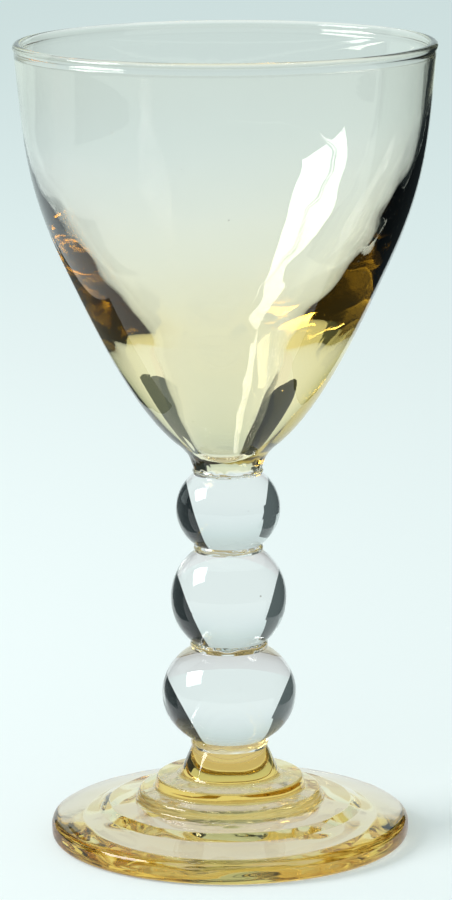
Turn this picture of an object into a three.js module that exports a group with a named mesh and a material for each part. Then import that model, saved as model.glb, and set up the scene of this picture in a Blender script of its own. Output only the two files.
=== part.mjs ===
// A claret glass: an amber bowl on a clear stem of three balls, over a stepped amber foot.
// The pieces are fused glass, so neighbours meet face to face at flat round seams.
// Millimetres, +Z up. The origin is the middle of the ring that the foot stands on.

import * as THREE from 'three';

// Foot: a round plate, three low steps and a cone. The underside is hollow, and its middle is
// kicked up a little further.
const FOOT_RADIUS = 31.4;
const FOOT_EDGE_THICKNESS = 3.72;
const FOOT_TOP_ROUND = 1.77;
const FOOT_BOTTOM_ROUND = 1.48;
const CONTACT_RING_WIDTH = 5.0;
const HOLLOW_DEPTH = 2.85;
const KICK_HEIGHT = 1.13;
const KICK_RADIUS = 10.4;
const PLATE_RISE = 1.62;
const STEPS = [
  { radius: 21.2, riser: 0.97, treadRise: 0.35, round: 1.0, rootRound: 0.75, draft: 2.0 },
  { radius: 16.1, riser: 1.95, treadRise: 0.25, round: 1.55, rootRound: 0.95, draft: 0.2 },
  { radius: 12.8, riser: 1.98, treadRise: 0.2, round: 0.45, rootRound: 0.4, draft: 0.5 },
];
const TOP_TREAD_WIDTH = 3.9;
const CONE_HEIGHT = 5.16;
const CONE_ROOT_ROUND = 1.1;

// Seams: the radius where two pieces are fused, and the thickness of the disc between them.
const FOOT_SEAM_RADIUS = 6.6;
const LOWER_SEAM_RADIUS = 6.65;
const UPPER_SEAM_RADIUS = 5.85;
const BOWL_SEAM_RADIUS = 5.95;
const FOOT_WAFER_THICKNESS = 1.5;
const LOWER_WAFER_THICKNESS = 1.4;
const UPPER_WAFER_THICKNESS = 1.25;
const BOWL_WAFER_THICKNESS = 1.0;
const WAFER_BULGE = 0.18;

// Balls of the stem: radius across, and half the height of the whole ball before its ends are flat.
const BOTTOM_BALL = { radius: 11.8, halfHeight: 9.77 };
const MIDDLE_BALL = { radius: 10.1, halfHeight: 10.19 };
const TOP_BALL = { radius: 9.09, halfHeight: 8.19 };

// Bowl: rings given by radius, height above the bowl's seam and lean outwards in degrees.
const BOWL_HEIGHT = 74.0;
const RIM_RADIUS = 36.2;
const RIM_LEAN = 5.6;
const RIM_WALL = 1.25;
const BEAD_RADIUS = 0.8;
const MIDDLE_RADIUS = 28.0;
const MIDDLE_HEIGHT = 36.0;
const MIDDLE_LEAN = 24.6;
const BASE_RADIUS = 8.64;
const BASE_HEIGHT = 4.24;
const BASE_LEAN = 51.5;
const NECK_LEAN = 12.0;

// The inside has rings of its own, because the wall is much thicker low down than at the rim.
const FLOOR_THICKNESS = 2.8;
const INSIDE_RINGS = [
  { radius: 6.0, height: 9.0, lean: 28.8 },
  { radius: 17.2, height: 26.4, lean: 38.3 },
  { radius: 30.5, height: 47.5, lean: 23.8 },
];

// How far each ring's direction is carried along the curve, as a share of the gap to the next ring.
const CURVE_PULL = 0.38;
const BASE_PULL = 0.25;
const SHOULDER_PULL = 0.43;

// Fineness of the faceted solids.
const WIDE_SEGMENTS = 48;
const STEM_SEGMENTS = 32;
const BALL_STEPS = 11;
const WALL_STEPS = 8;
const NECK_STEPS = 4;
const BEAD_STEPS = 6;
const ROUND_STEPS = 3;
const HOLLOW_STEPS = 6;
const BULGE_STEPS = 4;

const amberGlass = { color: 0xd9b45c, roughness: 0.04, metalness: 0.0 };
const clearGlass = { color: 0xe6efec, roughness: 0.03, metalness: 0.0 };

// Adds one piece, turned about the Z axis from its outline of (radius, height) points.
function addTurnedPiece(group, name, outline, segments, look, baseHeight) {
  const geometry = new THREE.LatheGeometry(outline, segments);
  geometry.rotateX(Math.PI / 2);
  const mesh = new THREE.Mesh(geometry, new THREE.MeshStandardMaterial(look));
  mesh.name = name;
  mesh.position.z = baseHeight;
  group.add(mesh);
}

// Replaces each corner that has a round by a curve tangent to both its sides.
function roundCorners(corners) {
  const points = [];
  corners.forEach((corner, i) => {
    const here = new THREE.Vector2(corner.r, corner.z);
    if (!corner.round) {
      points.push(here);
      return;
    }
    const before = new THREE.Vector2(corners[i - 1].r, corners[i - 1].z).sub(here);
    const after = new THREE.Vector2(corners[i + 1].r, corners[i + 1].z).sub(here);
    const reach = 0.48 * Math.min(before.length(), after.length());
    before.normalize();
    after.normalize();
    const halfAngle = Math.acos(before.dot(after)) / 2;
    const setback = Math.min(corner.round / Math.tan(halfAngle), reach);
    const start = here.clone().addScaledVector(before, setback);
    const end = here.clone().addScaledVector(after, setback);
    const curve = new THREE.QuadraticBezierCurve(start, here, end);
    points.push(...curve.getPoints(ROUND_STEPS));
  });
  return points;
}

// A curve between two rings that leaves each one along its own lean.
function leanCurve(low, high, lowPull, highPull, steps) {
  const lowDirection = new THREE.Vector2(Math.sin(low.lean), Math.cos(low.lean));
  const highDirection = new THREE.Vector2(Math.sin(high.lean), Math.cos(high.lean));
  const span = low.at.distanceTo(high.at);
  const lowHandle = low.at.clone().addScaledVector(lowDirection, lowPull * span);
  const highHandle = high.at.clone().addScaledVector(highDirection, -highPull * span);
  return new THREE.CubicBezierCurve(low.at, lowHandle, highHandle, high.at).getPoints(steps);
}

function ring(radius, height, leanDegrees) {
  return { at: new THREE.Vector2(radius, height), lean: THREE.MathUtils.degToRad(leanDegrees) };
}

// The foot's upper outline runs inwards, from the edge of the plate up the steps to the cone.
function footOutline() {
  const contactOuter = FOOT_RADIUS - FOOT_BOTTOM_ROUND;
  const contactInner = contactOuter - CONTACT_RING_WIDTH;
  const points = [];
  for (let i = 0; i < HOLLOW_STEPS; i += 1) {
    const radius = (contactInner * i) / HOLLOW_STEPS;
    const hollow = HOLLOW_DEPTH * (1 - (radius / contactInner) ** 2);
    const kick = KICK_HEIGHT * Math.max(0, 1 - (radius / KICK_RADIUS) ** 2);
    points.push(new THREE.Vector2(radius, hollow + kick));
  }
  const corners = [
    { r: contactInner, z: 0 },
    { r: FOOT_RADIUS, z: 0, round: FOOT_BOTTOM_ROUND },
    { r: FOOT_RADIUS, z: FOOT_EDGE_THICKNESS, round: FOOT_TOP_ROUND },
  ];
  let height = FOOT_EDGE_THICKNESS + PLATE_RISE;
  for (const step of STEPS) {
    corners.push({ r: step.radius + step.draft, z: height, round: step.rootRound });
    corners.push({ r: step.radius, z: height + step.riser, round: step.round });
    height += step.riser + step.treadRise;
  }
  const coneRoot = STEPS[STEPS.length - 1].radius - TOP_TREAD_WIDTH;
  corners.push({ r: coneRoot, z: height, round: CONE_ROOT_ROUND });
  corners.push({ r: FOOT_SEAM_RADIUS, z: height + CONE_HEIGHT });
  corners.push({ r: 0, z: height + CONE_HEIGHT });
  points.push(...roundCorners(corners));
  return points;
}

function footHeight() {
  const steps = STEPS.reduce((sum, step) => sum + step.riser + step.treadRise, 0);
  return FOOT_EDGE_THICKNESS + PLATE_RISE + steps + CONE_HEIGHT;
}

// A ball is cut flat where its surface reaches the radius of each seam.
function cutHeight(ball, seamRadius) {
  return ball.halfHeight * Math.sqrt(1 - (seamRadius / ball.radius) ** 2);
}

function ballHeight(ball, lowSeam, highSeam) {
  return cutHeight(ball, lowSeam) + cutHeight(ball, highSeam);
}

function ballOutline(ball, lowSeam, highSeam) {
  const centre = cutHeight(ball, lowSeam);
  const height = ballHeight(ball, lowSeam, highSeam);
  const lowAngle = -Math.acos(lowSeam / ball.radius);
  const highAngle = Math.acos(highSeam / ball.radius);
  const points = [new THREE.Vector2(0, 0), new THREE.Vector2(lowSeam, 0)];
  for (let i = 1; i < BALL_STEPS; i += 1) {
    const angle = lowAngle + ((highAngle - lowAngle) * i) / BALL_STEPS;
    const z = centre + ball.halfHeight * Math.sin(angle);
    points.push(new THREE.Vector2(ball.radius * Math.cos(angle), z));
  }
  points.push(new THREE.Vector2(highSeam, height), new THREE.Vector2(0, height));
  return points;
}

// The discs of hot glass at the seams swell a little beyond the seam.
function waferOutline(seamRadius, thickness) {
  const points = [new THREE.Vector2(0, 0)];
  for (let i = 0; i <= BULGE_STEPS; i += 1) {
    const share = i / BULGE_STEPS;
    const radius = seamRadius + WAFER_BULGE * Math.sin(Math.PI * share);
    points.push(new THREE.Vector2(radius, thickness * share));
  }
  points.push(new THREE.Vector2(0, thickness));
  return points;
}

// The bowl's outline goes up the outside, over the bead and down the inside to the floor.
function bowlOutline() {
  const beadCentre = new THREE.Vector2(RIM_RADIUS - BEAD_RADIUS, BOWL_HEIGHT - BEAD_RADIUS);
  const beadAngle = Math.acos(RIM_WALL / 2 / BEAD_RADIUS);
  const wallTop = beadCentre.y - BEAD_RADIUS * Math.sin(beadAngle);

  const neck = ring(BOWL_SEAM_RADIUS, 0, NECK_LEAN);
  const base = ring(BASE_RADIUS, BASE_HEIGHT, BASE_LEAN);
  const middle = ring(MIDDLE_RADIUS, MIDDLE_HEIGHT, MIDDLE_LEAN);
  const rim = ring(beadCentre.x + RIM_WALL / 2, wallTop, RIM_LEAN);
  const outside = [
    new THREE.Vector2(0, 0),
    ...leanCurve(neck, base, CURVE_PULL, CURVE_PULL, NECK_STEPS),
    ...leanCurve(base, middle, BASE_PULL, CURVE_PULL, WALL_STEPS).slice(1),
    ...leanCurve(middle, rim, SHOULDER_PULL, CURVE_PULL, WALL_STEPS).slice(1),
  ];

  const bead = [];
  for (let i = 1; i < BEAD_STEPS; i += 1) {
    const angle = -beadAngle + ((Math.PI + 2 * beadAngle) * i) / BEAD_STEPS;
    const offset = new THREE.Vector2(Math.cos(angle), Math.sin(angle));
    bead.push(beadCentre.clone().addScaledVector(offset, BEAD_RADIUS));
  }

  const innerRings = [
    ring(0, FLOOR_THICKNESS, 90),
    ...INSIDE_RINGS.map(({ radius, height, lean }) => ring(radius, height, lean)),
    ring(beadCentre.x - RIM_WALL / 2, wallTop, RIM_LEAN),
  ];
  const inside = [innerRings[0].at];
  for (let i = 1; i < innerRings.length; i += 1) {
    const span = leanCurve(innerRings[i - 1], innerRings[i], CURVE_PULL, CURVE_PULL, WALL_STEPS);
    inside.push(...span.slice(1));
  }
  return [...outside, ...bead, ...inside.reverse()];
}

const glass = new THREE.Group();
let height = 0;

addTurnedPiece(glass, 'foot', footOutline(), WIDE_SEGMENTS, amberGlass, height);
height += footHeight();

const stem = [
  { name: 'foot_wafer', seam: FOOT_SEAM_RADIUS, thickness: FOOT_WAFER_THICKNESS },
  { name: 'bottom_ball', ball: BOTTOM_BALL, low: FOOT_SEAM_RADIUS, high: LOWER_SEAM_RADIUS },
  { name: 'lower_wafer', seam: LOWER_SEAM_RADIUS, thickness: LOWER_WAFER_THICKNESS },
  { name: 'middle_ball', ball: MIDDLE_BALL, low: LOWER_SEAM_RADIUS, high: UPPER_SEAM_RADIUS },
  { name: 'upper_wafer', seam: UPPER_SEAM_RADIUS, thickness: UPPER_WAFER_THICKNESS },
  { name: 'top_ball', ball: TOP_BALL, low: UPPER_SEAM_RADIUS, high: BOWL_SEAM_RADIUS },
  { name: 'bowl_wafer', seam: BOWL_SEAM_RADIUS, thickness: BOWL_WAFER_THICKNESS },
];
for (const piece of stem) {
  const outline = piece.ball
    ? ballOutline(piece.ball, piece.low, piece.high)
    : waferOutline(piece.seam, piece.thickness);
  addTurnedPiece(glass, piece.name, outline, STEM_SEGMENTS, clearGlass, height);
  height += piece.ball ? ballHeight(piece.ball, piece.low, piece.high) : piece.thickness;
}

addTurnedPiece(glass, 'bowl', bowlOutline(), WIDE_SEGMENTS, amberGlass, height);

export default glass;
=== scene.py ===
"""The looks of a claret glass: an amber bowl and foot on a clear stem of three balls."""

import math

import bmesh
import bpy
from mathutils import Matrix, Vector, noise


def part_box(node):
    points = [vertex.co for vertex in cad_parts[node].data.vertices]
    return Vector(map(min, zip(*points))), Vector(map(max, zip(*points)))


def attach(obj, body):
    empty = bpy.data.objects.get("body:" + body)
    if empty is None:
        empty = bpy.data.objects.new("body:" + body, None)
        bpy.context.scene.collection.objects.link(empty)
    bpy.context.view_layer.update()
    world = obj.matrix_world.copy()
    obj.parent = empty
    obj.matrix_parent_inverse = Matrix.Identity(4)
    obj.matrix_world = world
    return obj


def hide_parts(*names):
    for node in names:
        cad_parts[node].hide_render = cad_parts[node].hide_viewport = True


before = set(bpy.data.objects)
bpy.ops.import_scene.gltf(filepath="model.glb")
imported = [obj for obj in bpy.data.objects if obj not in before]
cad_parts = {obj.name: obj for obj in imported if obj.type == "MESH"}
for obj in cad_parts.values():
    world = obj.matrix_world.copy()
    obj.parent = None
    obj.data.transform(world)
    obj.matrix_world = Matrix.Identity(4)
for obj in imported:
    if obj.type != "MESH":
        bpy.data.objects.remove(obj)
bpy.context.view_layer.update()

MM = 0.001

# Fineness of the turned meshes: steps round the axis, then along each stretch of an outline.
WIDE_STEPS = 192
STEM_STEPS = 112
NECK_STEPS = 12
WALL_STEPS = 30
CAVITY_STEPS = 24
BEAD_STEPS = 16
BALL_STEPS = 48
WAFER_STEPS = 12
HOLLOW_STEPS = 72
ROUND_STEPS = 7
FOOT_SPACING = 0.5 * MM
# Points closer than this are merged, and a hair counts as no distance at all.
MERGE_DISTANCE = 0.001 * MM
HAIR = 0.0001 * MM

# The pieces are fused, so their flat ends lie this far apart and let light through unbent.
SEAM_GAP = 0.02 * MM


def profile_point(radius, height):
    return Vector((radius, 0.0, height))


# Bowl: heights are above its seam, and leans are degrees outwards from upright.
RIM_LEAN = 5.6
RIM_WALL = 1.25 * MM
BEAD_RADIUS = 0.8 * MM
MIDDLE_RADIUS = 28.0 * MM
MIDDLE_HEIGHT = 36.0 * MM
MIDDLE_LEAN = 24.6
BASE_RADIUS = 8.64 * MM
BASE_HEIGHT = 4.24 * MM
BASE_LEAN = 51.5
NECK_LEAN = 12.0
FLOOR_THICKNESS = 2.8 * MM
FLOOR_LEAN = 90
INSIDE_RINGS = (
    # radius, height above the seam, lean
    (6.0 * MM, 9.0 * MM, 28.8),
    (17.2 * MM, 26.4 * MM, 38.3),
    (30.5 * MM, 47.5 * MM, 23.8),
)
# How far a curve follows a ring's lean, as a share of the distance to the next ring.
CURVE_PULL = 0.38
BASE_PULL = 0.25
SHOULDER_PULL = 0.43

# Foot: a plate, three low steps and a cone. The underside is hollow and kicked up in the middle.
FOOT_EDGE_THICKNESS = 3.72 * MM
FOOT_TOP_ROUND = 1.77 * MM
FOOT_BOTTOM_ROUND = 1.48 * MM
CONTACT_RING_WIDTH = 5.0 * MM
HOLLOW_DEPTH = 2.85 * MM
KICK_HEIGHT = 1.13 * MM
KICK_RADIUS = 10.4 * MM
PLATE_RISE = 1.62 * MM
FOOT_STEPS = (
    # radius, riser, rise of the tread, round of the edge, round of the root, draft
    (21.2 * MM, 0.97 * MM, 0.35 * MM, 1.0 * MM, 0.75 * MM, 2.0 * MM),
    (16.1 * MM, 1.95 * MM, 0.25 * MM, 1.55 * MM, 0.95 * MM, 0.2 * MM),
    (12.8 * MM, 1.98 * MM, 0.2 * MM, 0.45 * MM, 0.4 * MM, 0.5 * MM),
)
TOP_TREAD_WIDTH = 3.9 * MM
CONE_ROOT_ROUND = 1.1 * MM
# A round takes up to this share of its shorter side, and its curve pulls this far to the corner.
ROUND_REACH = 0.48
ROUND_PULL = 2 / 3

# Seams and balls.
FOOT_SEAM_RADIUS = 6.6 * MM
LOWER_SEAM_RADIUS = 6.65 * MM
UPPER_SEAM_RADIUS = 5.85 * MM
BOWL_SEAM_RADIUS = 5.95 * MM
WAFER_BULGE = 0.18 * MM


def bezier(start, start_handle, end_handle, end, steps):
    """Points of a cubic curve from start to end."""
    points = []
    for i in range(steps + 1):
        t = i / steps
        s = 1 - t
        point = start * s**3 + start_handle * (3 * s * s * t)
        point += end_handle * (3 * s * t * t) + end * t**3
        points.append(point)
    return points


def lean_direction(degrees):
    angle = math.radians(degrees)
    return Vector((math.sin(angle), 0.0, math.cos(angle)))


def lean_curve(low, low_lean, high, high_lean, low_pull, high_pull, steps):
    """A curve between two rings that leaves each one along its own lean."""
    span = (high - low).length
    low_handle = low + lean_direction(low_lean) * (low_pull * span)
    high_handle = high - lean_direction(high_lean) * (high_pull * span)
    return bezier(low, low_handle, high_handle, high, steps)


def bowl_profile():
    """The bowl's outline, and which of its points are on the inside."""
    low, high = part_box("bowl")
    base = low.z + SEAM_GAP / 2
    rim_radius = high.x
    bead_centre = profile_point(rim_radius - BEAD_RADIUS, high.z - BEAD_RADIUS)
    bead_angle = math.acos(RIM_WALL / 2 / BEAD_RADIUS)
    wall_top = bead_centre.z - BEAD_RADIUS * math.sin(bead_angle)

    neck_ring = profile_point(BOWL_SEAM_RADIUS, base)
    base_ring = profile_point(BASE_RADIUS, low.z + BASE_HEIGHT)
    middle_ring = profile_point(MIDDLE_RADIUS, low.z + MIDDLE_HEIGHT)
    rim_ring = profile_point(bead_centre.x + RIM_WALL / 2, wall_top)
    points = [profile_point(0, base)]
    outside = (
        (neck_ring, NECK_LEAN, base_ring, BASE_LEAN, CURVE_PULL, NECK_STEPS),
        (base_ring, BASE_LEAN, middle_ring, MIDDLE_LEAN, BASE_PULL, WALL_STEPS),
        (middle_ring, MIDDLE_LEAN, rim_ring, RIM_LEAN, SHOULDER_PULL, WALL_STEPS),
    )
    points.append(neck_ring)
    for ring, lean, next_ring, next_lean, pull, steps in outside:
        points += lean_curve(ring, lean, next_ring, next_lean, pull, CURVE_PULL, steps)[1:]

    for i in range(1, BEAD_STEPS):
        angle = -bead_angle + (math.pi + 2 * bead_angle) * i / BEAD_STEPS
        offset = Vector((math.cos(angle), 0.0, math.sin(angle)))
        points.append(bead_centre + offset * BEAD_RADIUS)

    inside = [profile_point(0, low.z + FLOOR_THICKNESS)]
    rings = [(profile_point(radius, low.z + height), lean) for radius, height, lean in INSIDE_RINGS]
    rings.append((profile_point(bead_centre.x - RIM_WALL / 2, wall_top), RIM_LEAN))
    ring = inside[0]
    lean = FLOOR_LEAN
    for next_ring, next_lean in rings:
        curve = lean_curve(ring, lean, next_ring, next_lean, CURVE_PULL, CURVE_PULL, CAVITY_STEPS)
        inside += curve[1:]
        ring = next_ring
        lean = next_lean
    return points + list(reversed(inside)), range(len(points), len(points) + len(inside))


def round_corners(corners):
    """Replaces each corner that has a round by a curve tangent to both its sides."""
    points = []
    for i, (corner, size) in enumerate(corners):
        if not size:
            points.append(corner)
            continue
        before = corners[i - 1][0] - corner
        after = corners[i + 1][0] - corner
        reach = ROUND_REACH * min(before.length, after.length)
        setback = min(size / math.tan(before.angle(after) / 2), reach)
        start = corner + before.normalized() * setback
        end = corner + after.normalized() * setback
        start_handle = start.lerp(corner, ROUND_PULL)
        end_handle = end.lerp(corner, ROUND_PULL)
        points += bezier(start, start_handle, end_handle, end, ROUND_STEPS)
    return points


def with_spacing(profile, spacing):
    """The same profile with points added, so that none lie further apart than spacing."""
    points = [profile[0]]
    for start, end in zip(profile, profile[1:]):
        parts = max(1, math.ceil((end - start).length / spacing))
        points += [start.lerp(end, i / parts) for i in range(1, parts + 1)]
    return points


def foot_profile():
    """The foot's outline, and which of its points are in the hollow beneath."""
    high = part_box("foot")[1]
    radius = high.x
    contact_inner = radius - FOOT_BOTTOM_ROUND - CONTACT_RING_WIDTH
    hollow = []
    for i in range(HOLLOW_STEPS):
        share = i / HOLLOW_STEPS
        here = contact_inner * share
        kick = KICK_HEIGHT * max(0, 1 - (here / KICK_RADIUS) ** 2)
        hollow.append(profile_point(here, HOLLOW_DEPTH * (1 - share * share) + kick))
    corners = [
        (profile_point(contact_inner, 0), 0),
        (profile_point(radius, 0), FOOT_BOTTOM_ROUND),
        (profile_point(radius, FOOT_EDGE_THICKNESS), FOOT_TOP_ROUND),
    ]
    height = FOOT_EDGE_THICKNESS + PLATE_RISE
    for step_radius, riser, tread_rise, edge_round, root_round, draft in FOOT_STEPS:
        corners.append((profile_point(step_radius + draft, height), root_round))
        corners.append((profile_point(step_radius, height + riser), edge_round))
        height += riser + tread_rise
    corners.append((profile_point(step_radius - TOP_TREAD_WIDTH, height), CONE_ROOT_ROUND))
    top = high.z - SEAM_GAP / 2
    corners.append((profile_point(FOOT_SEAM_RADIUS, top), 0))
    corners.append((profile_point(0, top), 0))
    upper = with_spacing(round_corners(corners), FOOT_SPACING)
    return hollow + upper, range(len(hollow))


def ball_profile(node, low_seam, high_seam):
    """An egg-like ball whose ends are cut flat at the seams."""
    low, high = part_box(node)
    radius = high.x
    low_cut = math.acos(low_seam / radius)
    high_cut = math.acos(high_seam / radius)
    half_height = (high.z - low.z) / (math.sin(low_cut) + math.sin(high_cut))
    centre = low.z + half_height * math.sin(low_cut)
    base = low.z + SEAM_GAP / 2
    top = high.z - SEAM_GAP / 2
    points = [profile_point(0, base), profile_point(low_seam, base)]
    for i in range(1, BALL_STEPS):
        angle = -low_cut + (low_cut + high_cut) * i / BALL_STEPS
        height = centre + half_height * math.sin(angle)
        points.append(profile_point(radius * math.cos(angle), height))
    points += [profile_point(high_seam, top), profile_point(0, top)]
    return points


def wafer_profile(node, seam):
    """A thin disc whose edge bulges a little."""
    low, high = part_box(node)
    base = low.z + SEAM_GAP / 2
    top = high.z - SEAM_GAP / 2
    points = [profile_point(0, base)]
    for i in range(WAFER_STEPS + 1):
        share = i / WAFER_STEPS
        radius = seam + WAFER_BULGE * math.sin(math.pi * share)
        points.append(profile_point(radius, base + (top - base) * share))
    points.append(profile_point(0, top))
    return points


# Unevenness of the glass: how far the surface waves in and out, and the length of the waves.
# The bowl's inside is also shifted sideways.
INSIDE_SHIFT = -0.6 * MM
INSIDE_WAVES = (
    (0.11 * MM, 13 * MM),
    (0.05 * MM, 5 * MM),
)
OUTSIDE_WAVES = ((0.03 * MM, 9 * MM),)
COLLAR_WAVES = ((0.14 * MM, 1.1 * MM),)
FOOT_WAVES = ((0.1 * MM, 6 * MM),)
HOLLOW_WAVES = ((0.7 * MM, 9.0 * MM),)
WRINKLES = (
    (0.4 * MM, 3.0 * MM),
    (0.15 * MM, 1.2 * MM),
)
BALL_WAVES = ((0.05 * MM, 6 * MM),)
WAFER_WAVES = ((0.12 * MM, 1.3 * MM),)
# Each surface, and each wave on it, reads the noise at a place of its own.
SURFACE_SHIFT = (7.3, 3.7)
WAVE_SHIFT = 5.1

# Where the waves fade in or out: heights above the seam or the floor, depths below the rim or
# the seam, and distances from the axis.
RIM_FADE = (-26 * MM, -3 * MM)
BASE_FADE = (0.0, 4 * MM)
COLLAR_START = (0.05 * MM, 0.5 * MM)
COLLAR_END = (1.5 * MM, 3.5 * MM)
FOOT_START = (0.1 * MM, 1.5 * MM)
FOOT_END = (-1.2 * MM, -0.1 * MM)
HOLLOW_FADE = (20 * MM, 24.5 * MM)
WRINKLES_FADE = (12 * MM, 16 * MM)
END_MARGIN = 0.05 * MM
BALL_END = 2 * MM
WAFER_END = 0.35 * MM

# Small bubbles: the place and the radius in millimetres.
BOWL_BUBBLES = (
    ((9.0, -14.2, 82.6), 0.16),
    ((-7.2, -33.1, 122.5), 0.08),
    ((0.4, -32.0, 114.0), 0.1),
    ((-18.4, -28.4, 128.0), 0.08),
    ((-5.6, -11.2, 77.0), 0.1),
)
FOOT_BUBBLES = (
    ((-12.6, -17.6, 4.2), 0.12),
    ((19.3, -10.8, 4.1), 0.1),
)


def ease(value, base, fade):
    """Goes smoothly from 0 at the fade's start to 1 at its end, both measured from base."""
    low = base + fade[0]
    high = base + fade[1]
    t = min(1.0, max(0.0, (value - low) / (high - low)))
    return t * t * (3 - 2 * t)


def from_axis(vert):
    return math.hypot(vert.co.x, vert.co.y)


def ripple(bm, waves, seed, share):
    """Moves the surface in and out by smooth noise, by share(vert) of each wave's height."""
    bm.normal_update()
    moves = []
    for vert in bm.verts:
        part = share(vert)
        push = 0.0
        if part:
            for i, (height, length) in enumerate(waves):
                shift = (seed * SURFACE_SHIFT[0], i * WAVE_SHIFT, seed * SURFACE_SHIFT[1])
                push += height * noise.noise(vert.co / length + Vector(shift))
        moves.append(vert.normal * (push * part))
    for vert, move in zip(bm.verts, moves):
        vert.co += move


def between_ends(node, end):
    """A share that is 1 in the middle of a node's height and fades to 0 at both ends."""
    low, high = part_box(node)

    def share(vert):
        rise = ease(vert.co.z, low.z, (END_MARGIN, end))
        fall = ease(vert.co.z, high.z, (-end, -END_MARGIN))
        return rise * (1 - fall)

    return share


def add_bubbles(bm, bubbles):
    """Spheres in the glass whose faces look at the air inside them."""
    for place, radius in bubbles:
        here = Matrix.Translation(Vector(place) * MM)
        made = bmesh.ops.create_uvsphere(
            bm, u_segments=16, v_segments=10, radius=radius * MM, matrix=here
        )
        faces = list({face for vert in made["verts"] for face in vert.link_faces})
        for face in faces:
            face.smooth = True
        bmesh.ops.reverse_faces(bm, faces=faces)


def finish_bowl(bm):
    """The inside is a little off centre and uneven, and the collar is wrinkled."""
    low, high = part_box("bowl")
    inner = bm.verts.layers.float["inner"]

    def below_rim(vert):
        return 1 - ease(vert.co.z, high.z, RIM_FADE)

    def inside(vert):
        return below_rim(vert) if vert[inner] else 0.0

    def outside(vert):
        return 0.0 if vert[inner] else below_rim(vert) * ease(vert.co.z, low.z, BASE_FADE)

    def collar(vert):
        if vert[inner]:
            return 0.0
        rise = ease(vert.co.z, low.z, COLLAR_START)
        return rise * (1 - ease(vert.co.z, low.z, COLLAR_END))

    for vert in bm.verts:
        vert.co.x += INSIDE_SHIFT * inside(vert)
    ripple(bm, INSIDE_WAVES, seed=1, share=inside)
    ripple(bm, OUTSIDE_WAVES, seed=3, share=outside)
    ripple(bm, COLLAR_WAVES, seed=4, share=collar)
    add_bubbles(bm, BOWL_BUBBLES)


def finish_foot(bm):
    """The top is a little uneven. The hollow is wavy, and its middle is wrinkled and dull."""
    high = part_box("foot")[1]
    inner = bm.verts.layers.float["inner"]

    def top(vert):
        if vert[inner]:
            return 0.0
        return ease(vert.co.z, 0.0, FOOT_START) * (1 - ease(vert.co.z, high.z, FOOT_END))

    def hollow(vert):
        return 1 - ease(from_axis(vert), 0.0, HOLLOW_FADE) if vert[inner] else 0.0

    def middle(vert):
        return 1 - ease(from_axis(vert), 0.0, WRINKLES_FADE) if vert[inner] else 0.0

    ripple(bm, FOOT_WAVES, seed=5, share=top)
    ripple(bm, HOLLOW_WAVES, seed=8, share=hollow)
    ripple(bm, WRINKLES, seed=6, share=middle)
    rough = bm.verts.layers.float.new("rough")
    for vert in bm.verts:
        vert[rough] = middle(vert)
    add_bubbles(bm, FOOT_BUBBLES)


def finish_stem(node, waves, seed, end, bubbles):
    """How a ball or a disc of the stem is finished: uneven between its ends, with bubbles."""

    def finish(bm):
        ripple(bm, waves, seed, between_ends(node, end))
        add_bubbles(bm, bubbles)

    return finish


def turned_piece(name, profile, inner, steps, seams, finish):
    """Spins a profile about the Z axis. Flat ends at the seam heights carry the seam attribute."""
    bm = bmesh.new()
    mark = bm.verts.layers.float.new("inner")
    verts = []
    for i, point in enumerate(profile):
        vert = bm.verts.new(point)
        vert[mark] = 1.0 if i in inner else 0.0
        verts.append(vert)
    edges = [bm.edges.new(pair) for pair in zip(verts, verts[1:])]
    bmesh.ops.spin(
        bm, geom=verts + edges, cent=(0, 0, 0), axis=(0, 0, 1), dvec=(0, 0, 0),
        angle=2 * math.pi, steps=steps, use_merge=True, use_duplicate=False,
    )
    bmesh.ops.remove_doubles(bm, verts=bm.verts, dist=MERGE_DISTANCE)
    bmesh.ops.dissolve_degenerate(bm, dist=HAIR, edges=bm.edges)
    bmesh.ops.recalc_face_normals(bm, faces=bm.faces)
    seam = bm.faces.layers.float.new("seam")
    for face in bm.faces:
        flat = any(all(abs(vert.co.z - z) < HAIR for vert in face.verts) for z in seams)
        face[seam] = 1.0 if flat else 0.0
        face.smooth = not flat
    for edge in bm.edges:
        if len({face.smooth for face in edge.link_faces}) == 2:
            edge.smooth = False
    finish(bm)
    mesh = bpy.data.meshes.new(name)
    bm.to_mesh(mesh)
    bm.free()
    piece = bpy.data.objects.new(name, mesh)
    bpy.context.scene.collection.objects.link(piece)
    return piece


class Socket:
    """A shader value. Python's operators build Math nodes on it."""

    def __init__(self, nodes, end):
        self.nodes = nodes
        self.end = end

    def maths(self, operation, first, second):
        return self.nodes.node("Math", {"operation": operation}, {0: first, 1: second})

    def __add__(self, other):
        return self.maths("ADD", self, other)

    def __radd__(self, other):
        return self.maths("ADD", other, self)

    def __sub__(self, other):
        return self.maths("SUBTRACT", self, other)

    def __rsub__(self, other):
        return self.maths("SUBTRACT", other, self)

    def __mul__(self, other):
        return self.maths("MULTIPLY", self, other)

    def __rmul__(self, other):
        return self.maths("MULTIPLY", other, self)

    def __truediv__(self, other):
        return self.maths("DIVIDE", self, other)

    def __rtruediv__(self, other):
        return self.maths("DIVIDE", other, self)

    def maximum(self, other):
        return self.maths("MAXIMUM", self, other)

    def equals(self, count):
        """1 where the value is this whole number, or else 0."""
        near = 0.5
        return self.nodes.node("Math", {"operation": "COMPARE"}, {0: self, 1: count, 2: near})


def set_stops(colour_ramp, stops):
    """Sets a colour ramp by stops of (place, colour), with the places from 0 to 1."""
    while len(colour_ramp.elements) < len(stops):
        colour_ramp.elements.new(stops[-1][0])
    for element, (place, shade) in zip(colour_ramp.elements, stops):
        element.position = place
        element.color = (*shade, 1)


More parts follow.
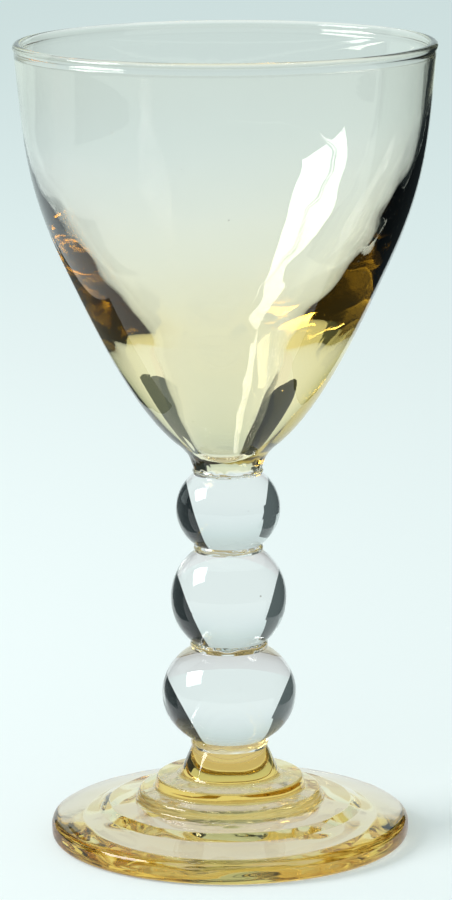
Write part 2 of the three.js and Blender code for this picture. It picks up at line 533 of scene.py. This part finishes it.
class Nodes:
    """The node tree of a material or the world."""

    def __init__(self, owner):
        owner.use_nodes = True
        self.tree = owner.node_tree
        self.tree.nodes.clear()

    def node(self, kind, settings, sockets, output=0):
        """Makes a node, sets it, joins or fills its sockets, and gives one of its outputs."""
        made = self.tree.nodes.new("ShaderNode" + kind)
        for name, value in settings.items():
            if name == "stops":
                set_stops(made.color_ramp, value)
            else:
                setattr(made, name, value)
        for name, value in sockets.items():
            if isinstance(value, Socket):
                self.tree.links.new(value.end, made.inputs[name])
            else:
                made.inputs[name].default_value = value
        return Socket(self, made.outputs[output]) if made.outputs else None

    def ramp(self, value, stops):
        return self.node("ValToRGB", {"stops": stops}, {"Fac": value})

    def mix(self, share, first, second):
        return self.node("MixShader", {}, {0: share, 1: first, 2: second})

    def ray(self, *names):
        """1 for a ray of any of these kinds, or the number that Light Path gives."""
        found = self.node("LightPath", {}, {}, names[0])
        for name in names[1:]:
            found = found.maximum(self.node("LightPath", {}, {}, name))
        return found


def new_material(name):
    material = bpy.data.materials.new(name)
    return material, Nodes(material)


# Glass: absorption is by metre for red, green and blue. A volume absorbs its density times one
# minus its colour, so the density is a little over the strongest of them.
GLASS_IOR = 1.5
AMBER_ABSORPTION = (1.5, 8.5, 37.0)
CLEAR_ABSORPTION = (4.0, 3.2, 3.6)
DENSITY_ROOM = 1.05
# Share of the light that goes straight through the glass to the floor.
SHADOW_LIGHT = 0.2
# The surface has fine ripples. It is scratched or smudged where a noise is above a level. The
# scratches and smudges dull it, and so do the wrinkles in the hollow under the foot.
RIPPLE_HEIGHT = 0.012 * MM
SCRATCH_DEPTH = 0.02 * MM
SCRATCH_LEVEL = 0.73
SCRATCH_ROUGHNESS = 0.3
SMUDGE_LEVEL = 0.52
SMUDGE_ROUGHNESS = 0.12
HOLLOW_ROUGHNESS = 0.3


def glass_material(name, absorption, ripple_seed, smudge_seed):
    material, nodes = new_material(name)
    place = nodes.node("TexCoord", {}, {}, "Object")
    waves = nodes.node(
        "TexNoise", {"noise_dimensions": "4D"},
        {"Vector": place, "W": ripple_seed, "Scale": 420.0, "Detail": 2.0, "Roughness": 0.45},
    )
    stretched = nodes.node(
        "Mapping", {}, {"Vector": place, "Rotation": (0.5, 0.9, 0.3), "Scale": (900, 9000, 40)}
    )
    scratches = nodes.node("TexNoise", {}, {"Vector": stretched, "Scale": 1.0, "Detail": 1.0})
    scratch = (scratches - SCRATCH_LEVEL).maximum(0.0)
    ripples = nodes.node(
        "Bump", {}, {"Height": waves, "Strength": 0.35, "Distance": RIPPLE_HEIGHT}
    )
    relief = nodes.node(
        "Bump", {"invert": True},
        {"Height": scratch, "Strength": 0.5, "Distance": SCRATCH_DEPTH, "Normal": ripples},
    )
    smudges = nodes.node(
        "TexNoise", {"noise_dimensions": "4D"},
        {"Vector": place, "W": smudge_seed, "Scale": 90.0, "Detail": 3.0, "Roughness": 0.6},
    )
    smudge = (smudges - SMUDGE_LEVEL).maximum(0.0)
    rough = nodes.node("Attribute", {"attribute_name": "rough"}, {}, "Fac")
    dull = smudge * SMUDGE_ROUGHNESS + scratch * SCRATCH_ROUGHNESS + rough * HOLLOW_ROUGHNESS
    surface = nodes.node(
        "BsdfPrincipled", {},
        {
            "Base Color": (1, 1, 1, 1),
            "Roughness": dull,
            "IOR": GLASS_IOR,
            "Transmission Weight": 1.0,
            "Normal": relief,
        },
    )
    # Light passes the seams unbent, and part of it reaches the floor through the glass.
    clear = nodes.node("BsdfTransparent", {}, {})
    seam = nodes.node("Attribute", {"attribute_name": "seam"}, {}, "Fac")
    opened = nodes.mix(seam.maximum(nodes.ray("Is Shadow Ray") * SHADOW_LIGHT), surface, clear)
    shown = nodes.mix(nodes.ray("Is Camera Ray"), opened, surface)
    density = max(absorption) * DENSITY_ROOM
    tint = tuple(1 - share / density for share in absorption)
    volume = nodes.node("VolumeAbsorption", {}, {"Color": (*tint, 1), "Density": density})
    nodes.node("OutputMaterial", {}, {"Surface": shown, "Volume": volume})
    return material


glass = {
    "amber_glass": glass_material("amber_glass", AMBER_ABSORPTION, ripple_seed=1, smudge_seed=4),
    "clear_glass": glass_material("clear_glass", CLEAR_ABSORPTION, ripple_seed=2, smudge_seed=5),
}


def add_piece(node, profile, inner, steps, slot, fused_below, fused_above, finish):
    """Builds what stands in for a node's solid, which is fused to its neighbours."""
    low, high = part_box(node)
    seams = []
    if fused_below:
        seams.append(low.z + SEAM_GAP / 2)
    if fused_above:
        seams.append(high.z - SEAM_GAP / 2)
    piece = turned_piece(node + "_glass", profile, inner, steps, seams, finish)
    piece.data.materials.append(glass[slot])
    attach(piece, "root")
    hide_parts(node)


def add_stem_piece(node, profile, finish):
    add_piece(node, profile, (), STEM_STEPS, "clear_glass", True, True, finish)


add_piece("foot", *foot_profile(), WIDE_STEPS, "amber_glass", False, True, finish_foot)
for node, seam, seed in (
    # disc, radius at its faces, seed of its waves
    ("foot_wafer", FOOT_SEAM_RADIUS, 12),
    ("lower_wafer", LOWER_SEAM_RADIUS, 13),
    ("upper_wafer", UPPER_SEAM_RADIUS, 13),
    ("bowl_wafer", BOWL_SEAM_RADIUS, 12),
):
    finish = finish_stem(node, WAFER_WAVES, seed, WAFER_END, ())
    add_stem_piece(node, wafer_profile(node, seam), finish)
for node, low_seam, high_seam, seed, bubbles in (
    # ball, radii at its lower and upper face, seed of its waves, the bubble in it
    ("bottom_ball", FOOT_SEAM_RADIUS, LOWER_SEAM_RADIUS, 11, (((1.9, -9.6, 28.6), 0.07),)),
    ("middle_ball", LOWER_SEAM_RADIUS, UPPER_SEAM_RADIUS, 11, (((5.4, -7.7, 44.8), 0.14),)),
    ("top_ball", UPPER_SEAM_RADIUS, BOWL_SEAM_RADIUS, 8, (((3.4, -7.6, 59.8), 0.06),)),
):
    finish = finish_stem(node, BALL_WAVES, seed, BALL_END, bubbles)
    add_stem_piece(node, ball_profile(node, low_seam, high_seam), finish)
add_piece("bowl", *bowl_profile(), WIDE_STEPS, "amber_glass", True, False, finish_bowl)


# The camera stands in front, above the rim, and looks a little down.
CAMERA_DISTANCE = 0.7
CAMERA_HEIGHT = 0.21271
CAMERA_PITCH = math.radians(11.601)
CAMERA_YAW = 0.00043
CAMERA_ROLL = -0.00632
LENS = 164.99
SENSOR_HEIGHT = 36.0
NEAREST_SEEN = 0.01

camera_data = bpy.data.cameras.new("camera")
camera_data.sensor_fit = "VERTICAL"
camera_data.sensor_height = SENSOR_HEIGHT
camera_data.lens = LENS
camera_data.clip_start = NEAREST_SEEN
camera = bpy.data.objects.new("camera", camera_data)
camera.matrix_world = (
    Matrix.Translation((0, -CAMERA_DISTANCE, CAMERA_HEIGHT))
    @ Matrix.Rotation(CAMERA_YAW, 4, "Z")
    @ Matrix.Rotation(math.pi / 2 - CAMERA_PITCH, 4, "X")
    @ Matrix.Rotation(CAMERA_ROLL, 4, "Z")
)
bpy.context.scene.collection.objects.link(camera)
bpy.context.scene.camera = camera


# The room. The floor is pale and keeps the shadow. The rest of it is seen in the glass only.
def stage_mesh(name, bm, material):
    mesh = bpy.data.meshes.new(name)
    bm.to_mesh(mesh)
    bm.free()
    obj = bpy.data.objects.new(name, mesh)
    bpy.context.scene.collection.objects.link(obj)
    mesh.materials.append(material)
    return obj


def flat_sheet(name, corners, material):
    bm = bmesh.new()
    bm.faces.new([bm.verts.new(corner) for corner in corners])
    return stage_mesh(name, bm, material)


def seen_in_glass_only(obj):
    obj.visible_camera = False
    obj.visible_diffuse = False
    obj.visible_shadow = False


# The floor lies a hair below the foot, so that light turns back inside the glass there. Its
# colours are by distance from the glass, as a share of FLOOR_FADE. They grow a little paler
# further out: painted light where the lamps light the floor less.
FLOOR_HALF = 6.0
FLOOR_GAP = 0.05 * MM
FLOOR_FADE = 1.6
FLOOR_STOPS = (
    (0.0, (0.902, 0.943, 0.945)),
    (0.3, (0.903, 0.949, 0.952)),
    (0.45, (0.908, 0.972, 0.975)),
    (1.0, (0.912, 0.98, 0.983)),
)
# The camera sees this share of the floor's colour without the shadow.
FLOOR_GLOW = 0.25
# The floor as the glass shows it, with a painted shadow of the foot: dim and warm under the
# foot, darker again in a ring round its edge, and pale further out.
PAINTED_FOOT_SHADOW_STOPS = (
    (0.0, (0.6, 0.56, 0.52)),
    (0.008, (0.64, 0.6, 0.54)),
    (0.012, (0.71, 0.67, 0.53)),
    (0.015, (0.72, 0.7, 0.58)),
    (0.0175, (0.7, 0.71, 0.68)),
    (0.021, (0.6, 0.6, 0.57)),
    (0.028, (0.78, 0.82, 0.82)),
    (0.045, (0.86, 0.92, 0.92)),
)


def floor_material():
    """Lit and shaded outside the glass. In the glass it glows, with the foot's shadow painted on.
    """
    material, nodes = new_material("floor")
    place = nodes.node("TexCoord", {}, {}, "Object")
    distance = nodes.node("VectorMath", {"operation": "LENGTH"}, {0: place}, "Value")
    share = distance / FLOOR_FADE
    colour = nodes.ramp(share, FLOOR_STOPS)
    lit = nodes.node("BsdfDiffuse", {}, {"Color": colour})
    glow = nodes.node("Emission", {}, {"Color": colour})
    outside = nodes.mix(nodes.ray("Is Camera Ray") * FLOOR_GLOW, lit, glow)
    # Painted shadow of the foot, which only the glass shows.
    painted_foot_shadow = nodes.node("Emission", {}, {"Color": nodes.ramp(share, PAINTED_FOOT_SHADOW_STOPS)})
    in_glass = nodes.ray("Is Glossy Ray", "Is Transmission Ray")
    nodes.node("OutputMaterial", {}, {"Surface": nodes.mix(in_glass, outside, painted_foot_shadow)})
    return material


flat_sheet(
    "floor",
    [
        (-FLOOR_HALF, -FLOOR_HALF, -FLOOR_GAP),
        (FLOOR_HALF, -FLOOR_HALF, -FLOOR_GAP),
        (FLOOR_HALF, FLOOR_HALF, -FLOOR_GAP),
        (-FLOOR_HALF, FLOOR_HALF, -FLOOR_GAP),
    ],
    floor_material(),
)


# Surfaces that a ray has met when it has gone through one wall of the bowl, or both. In the
# world the ray depth counts one more.
ONE_WALL = 2
BOTH_WALLS = 4
WORLD_COUNT = 1


def straight_through(nodes, surfaces):
    """1 for a ray that has met one of these counts of surfaces."""
    found = nodes.ray("Ray Depth").equals(surfaces[0])
    for count in surfaces[1:]:
        found = found.maximum(nodes.ray("Ray Depth").equals(count))
    return found


def dark_material(name, colour, passing):
    """A card's glow. A ray that has met one of the passing counts of surfaces goes through."""
    material, nodes = new_material(name)
    glow = nodes.node("Emission", {}, {"Color": (*colour, 1)})
    if passing:
        clear = nodes.node("BsdfTransparent", {}, {})
        glow = nodes.mix(straight_through(nodes, passing), glow, clear)
    nodes.node("OutputMaterial", {}, {"Surface": glow})
    return material


# The cards that give the glass its dark edges.
CARD_STEPS = 16
LEFT_DARK = (0.11, 0.14, 0.14)
RIGHT_DARK = (0.022, 0.03, 0.032)
ROOM_DARK = (0.03, 0.034, 0.034)


def side_card(name, x, slope, front, start, radius, top, colour, passing):
    """A card on edge, x + slope * y to the side, cut along the curve of a backdrop. In mm."""
    outline = [(front, 0), (start, 0)]
    for i in range(1, CARD_STEPS + 1):
        angle = math.pi / 2 * i / CARD_STEPS
        height = radius * (1 - math.cos(angle))
        if height > top:
            break
        outline.append((start + radius * math.sin(angle), height))
    outline.append((outline[-1][0], top))
    outline.append((front, top))
    corners = [((x + slope * y) * MM, y * MM, z * MM) for y, z in outline]
    seen_in_glass_only(flat_sheet(name, corners, dark_material(name, colour, passing)))


side_card(
    "right_card", x=78.8, slope=0.02, front=-20, start=80.6, radius=161, top=400,
    colour=RIGHT_DARK, passing=(),
)
side_card(
    "left_card", x=-63.5, slope=-0.16, front=5, start=55.7, radius=196, top=62,
    colour=LEFT_DARK, passing=(BOTH_WALLS,),
)

# A near strip on the left darkens the lower right of the balls and stays below the rim. In mm.
LEFT_STRIP = ((-45, 36, 40), (-45, 84, 40), (-45, 84, 90), (-45, 36, 90))
strip_corners = [(x * MM, y * MM, z * MM) for x, y, z in LEFT_STRIP]
strip_material = dark_material("left_strip", LEFT_DARK, (BOTH_WALLS,))
seen_in_glass_only(flat_sheet("left_strip", strip_corners, strip_material))

# The dark of the room, in front of the glass and beside the camera. In metres.
for name, start, end, top in (
    ("front_dark", (-3.0, -0.8), (3.0, -0.8), 1.5),
    ("left_dark", (-0.6, -0.8), (-0.6, 0.0), 0.2),
    ("right_dark", (0.6, -0.8), (0.6, 0.0), 0.3),
):
    corners = [(*start, 0), (*end, 0), (*end, top), (*start, top)]
    material = dark_material(name, ROOM_DARK, (ONE_WALL, BOTH_WALLS))
    seen_in_glass_only(flat_sheet(name, corners, material))

# Behind the glass a pale backdrop curves up from the floor. Its colours are by height, as a
# share of BACKDROP_FADE, and darker higher up: painted shade on the glowing backdrop.
BACKDROP_STEPS = 24
BACKDROP_START = 0.055
BACKDROP_RADIUS = 0.135
BACKDROP_HALF_WIDTH = 0.5
BACKDROP_TOP = 0.5
BACKDROP_FADE = 0.4
BACKDROP_SHADE_STOPS = (
    (0.0, (0.863, 0.965, 0.957)),
    (0.05, (0.863, 0.965, 0.957)),
    (0.1425, (0.78, 0.894, 0.894)),
    (0.2425, (0.68, 0.81, 0.8)),
    (0.325, (0.63, 0.75, 0.74)),
    (1.0, (0.5, 0.6, 0.59)),
)


def backdrop_material():
    material, nodes = new_material("backdrop")
    place = nodes.node("TexCoord", {}, {}, "Object")
    height = nodes.node("SeparateXYZ", {}, {0: place}, "Z")
    # Painted shade: the glow darkens higher up the backdrop.
    colour = nodes.ramp(height / BACKDROP_FADE, BACKDROP_SHADE_STOPS)
    glow = nodes.node("Emission", {}, {"Color": colour})
    nodes.node("OutputMaterial", {}, {"Surface": glow})
    return material


def add_backdrop():
    bm = bmesh.new()
    path = []
    for i in range(BACKDROP_STEPS + 1):
        angle = math.pi / 2 * i / BACKDROP_STEPS
        y = BACKDROP_START + BACKDROP_RADIUS * math.sin(angle)
        path.append((y, BACKDROP_RADIUS * (1 - math.cos(angle))))
    path.append((y, BACKDROP_TOP))
    verts = [bm.verts.new((-BACKDROP_HALF_WIDTH, y, z)) for y, z in path]
    edges = [bm.edges.new(pair) for pair in zip(verts, verts[1:])]
    made = bmesh.ops.extrude_edge_only(bm, edges=edges)["geom"]
    moved = [vert for vert in made if isinstance(vert, bmesh.types.BMVert)]
    bmesh.ops.translate(bm, verts=moved, vec=(2 * BACKDROP_HALF_WIDTH, 0, 0))
    seen_in_glass_only(stage_mesh("backdrop", bm, backdrop_material()))


add_backdrop()


# A square softbox on the left stands on its corner, in an even pale surround.
KEY_DIRECTION = Vector((-0.806, -0.107, 0.567))
KEY_DISTANCE = 1.0
KEY_SIDE = 0.49
KEY_RADIANCE = 11.0
GLASS_MIDDLE = Vector((0, 0, 0.07))

key_data = bpy.data.lights.new("softbox", "AREA")
key_data.shape = "SQUARE"
key_data.size = KEY_SIDE
key_data.energy = KEY_RADIANCE * math.pi * KEY_SIDE**2
key = bpy.data.objects.new("softbox", key_data)
key.matrix_world = (
    Matrix.Translation(GLASS_MIDDLE + KEY_DIRECTION.normalized() * KEY_DISTANCE)
    @ KEY_DIRECTION.to_track_quat("Z", "Y").to_matrix().to_4x4()
    @ Matrix.Rotation(math.pi / 4, 4, "Z")
)
key.visible_camera = False
bpy.context.scene.collection.objects.link(key)

# The surround is pale for the floor, and dark for what the glass mirrors and bends. A ray that
# has gone straight through the bowl sees it pale too.
SURROUND_COLOUR = (0.645, 0.78, 0.765)
SURROUND_STRENGTH = 0.8

world = bpy.data.worlds.new("surround")
bpy.context.scene.world = world
nodes = Nodes(world)
plain = nodes.node(
    "Background", {}, {"Color": (*SURROUND_COLOUR, 1), "Strength": SURROUND_STRENGTH}
)
dark = nodes.node("Background", {}, {"Color": (*ROOM_DARK, 1)})
straight = straight_through(nodes, (ONE_WALL + WORLD_COUNT, BOTH_WALLS + WORLD_COUNT))
in_glass = nodes.ray("Is Glossy Ray", "Is Transmission Ray")
surround = nodes.mix(in_glass * (1 - straight), plain, dark)
nodes.node("OutputWorld", {}, {"Surface": surround})

scene = bpy.context.scene
scene.view_settings.view_transform = "Standard"
scene.cycles.max_bounces = 32
scene.cycles.transmission_bounces = 32
scene.cycles.glossy_bounces = 16
scene.cycles.transparent_max_bounces = 64
